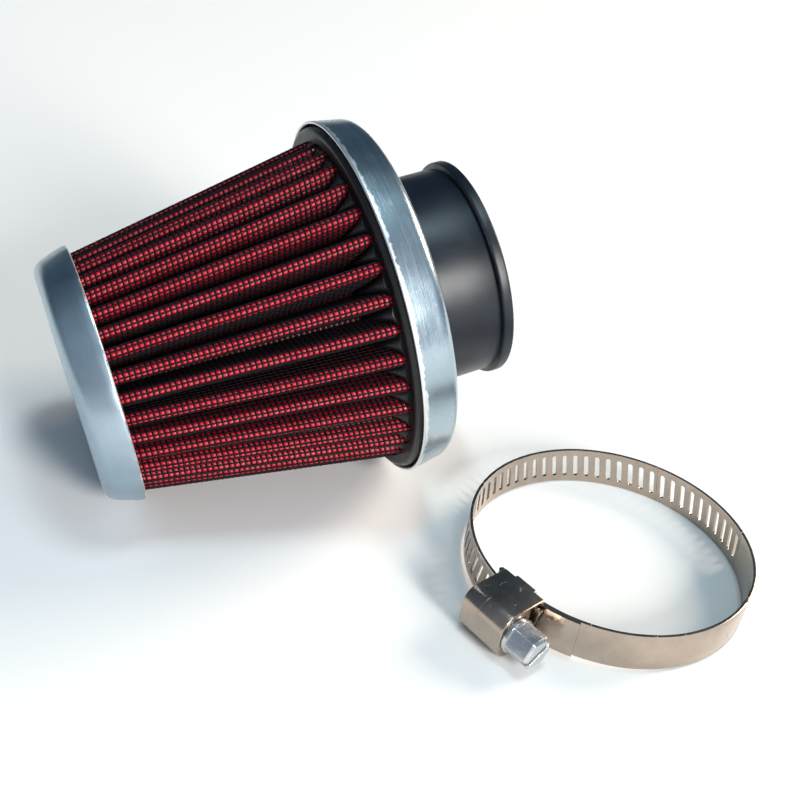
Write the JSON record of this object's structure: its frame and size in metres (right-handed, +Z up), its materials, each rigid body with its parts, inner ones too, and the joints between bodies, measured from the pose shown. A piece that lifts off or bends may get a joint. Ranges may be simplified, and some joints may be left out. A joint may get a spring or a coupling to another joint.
{
  "type": "conical pod air filter with band clamp",
  "caption": "Conical pod air filter lying on its side: metal end cap, red pleated gauze under wire mesh, metal base ring, black neck, and a loose worm-drive band clamp.",
  "frame": {"origin": "centre of the whole object's box in plan, on the surface that the filter and the clamp lie on", "axes": "+X along the filter in plan, from its cap to its neck; +Z up; the clamp lies on the -Y side"},
  "size_m": [0.1259, 0.1146, 0.0707],
  "materials": {
    "cap_metal": "spun and lightly brushed",
    "ring_metal": "stamped, polished with worn edge",
    "mesh_wire": "black coated wire",
    "gauze": "oiled cotton gauze",
    "potting": "moulded satin",
    "neck_rubber": "moulded satin",
    "clamp_steel": "rolled stainless strip, bright",
    "screw_zinc": "bright zinc plate"
  },
  "bodies": {
    "filter": {"end_cap": "cap_metal", "cap_potting": "potting", "outer_mesh": "mesh_wire", "gauze_outer_ply": "gauze", "gauze_inner_ply": "gauze", "inner_mesh": "mesh_wire", "base_ring": "ring_metal", "base_potting": "potting", "neck": "neck_rubber"},
    "clamp": {"band_fixed_end": "clamp_steel", "clamp_saddle": "clamp_steel", "clamp_housing": "clamp_steel"},
    "band_1": {"band_span_1": "clamp_steel"},
    "band_2": {"band_span_2": "clamp_steel"},
    "band_3": {"band_span_3": "clamp_steel"},
    "band_4": {"band_span_4": "clamp_steel"},
    "band_5": {"band_span_5": "clamp_steel"},
    "tail": {"band_tail": "clamp_steel"},
    "screw": {"clamp_screw": "screw_zinc"}
  },
  "joints": [
    {"name": "clamp_lift", "type": "slide", "parent": "filter", "child": "clamp", "axis": [0, 0, 1], "range_m": [0, 0.1]},
    {"name": "screw_turn", "type": "hinge", "parent": "clamp", "child": "screw", "pos_m": [0.0047, -0.04069, 0.00482], "axis": [-0.309, 0.9511, 0], "range_deg": [0, 3600]},
    {"name": "band_bend_1", "type": "hinge", "parent": "clamp", "child": "band_1", "pos_m": [0.01786, -0.05013, 0.00469], "axis": [0.0129, 0.0042, 0.9999], "range_deg": [0, 7.89]},
    {"name": "band_bend_2", "type": "hinge", "parent": "band_1", "child": "band_2", "pos_m": [0.03899, -0.0568, 0.00445], "axis": [0.0129, 0.0042, 0.9999], "range_deg": [0, 8.37]},
    {"name": "band_bend_3", "type": "hinge", "parent": "band_2", "child": "band_3", "pos_m": [0.0581, -0.04497, 0.00415], "axis": [0.0129, 0.0042, 0.9999], "range_deg": [0, 8.67]},
    {"name": "band_bend_4", "type": "hinge", "parent": "band_3", "child": "band_4", "pos_m": [0.06147, -0.02224, 0.00401], "axis": [0.0129, 0.0042, 0.9999], "range_deg": [0, 6.33]},
    {"name": "band_bend_5", "type": "hinge", "parent": "band_4", "child": "band_5", "pos_m": [0.04582, -0.00475, 0.00414], "axis": [0.0129, 0.0042, 0.9999], "range_deg": [0, 6.13]},
    {"name": "band_bend_6", "type": "hinge", "parent": "band_5", "child": "tail", "pos_m": [0.02206, -0.00579, 0.00445], "axis": [0.0129, 0.0042, 0.9999], "range_deg": [0, 11.44]}
  ],
  "couplings": [
    {"joint": "band_bend_1", "follows": "screw_turn", "ratio": 0.0021769},
    {"joint": "band_bend_2", "follows": "screw_turn", "ratio": 0.0023121},
    {"joint": "band_bend_3", "follows": "screw_turn", "ratio": 0.0023932},
    {"joint": "band_bend_4", "follows": "screw_turn", "ratio": 0.0017442},
    {"joint": "band_bend_5", "follows": "screw_turn", "ratio": 0.0016901},
    {"joint": "band_bend_6", "follows": "screw_turn", "ratio": 0.0031639}
  ]
}
